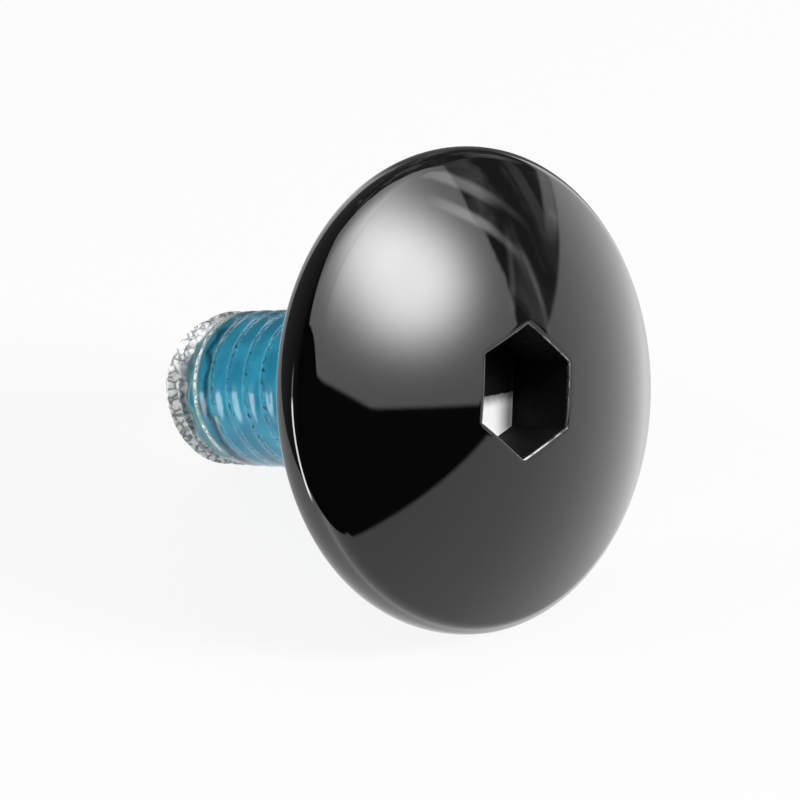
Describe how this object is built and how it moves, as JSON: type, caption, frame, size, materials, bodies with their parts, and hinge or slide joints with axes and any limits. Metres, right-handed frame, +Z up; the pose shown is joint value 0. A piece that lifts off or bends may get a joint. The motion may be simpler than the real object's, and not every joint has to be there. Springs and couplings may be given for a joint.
{
  "type": "button-head hex socket screw",
  "caption": "Short metric machine screw with a wide black domed head, a hexagon socket and a fully threaded shank carrying a blue thread-locking coat that stops short of a bare bright tip.",
  "frame": {"origin": "centre of the bearing face under the head, on the screw's axis", "axes": "+Z up as the screw lies at rest on its rim and its tip; the screw's axis lies in the XZ plane, with the head towards +X and raised 22.3 degrees"},
  "size_m": [0.0186, 0.017, 0.016],
  "materials": {
    "screw_steel": "gloss black on the head, blue locking coat on the thread, bright zinc at the tip"
  },
  "bodies": {
    "root": {"screw": "screw_steel"}
  },
  "joints": []
}
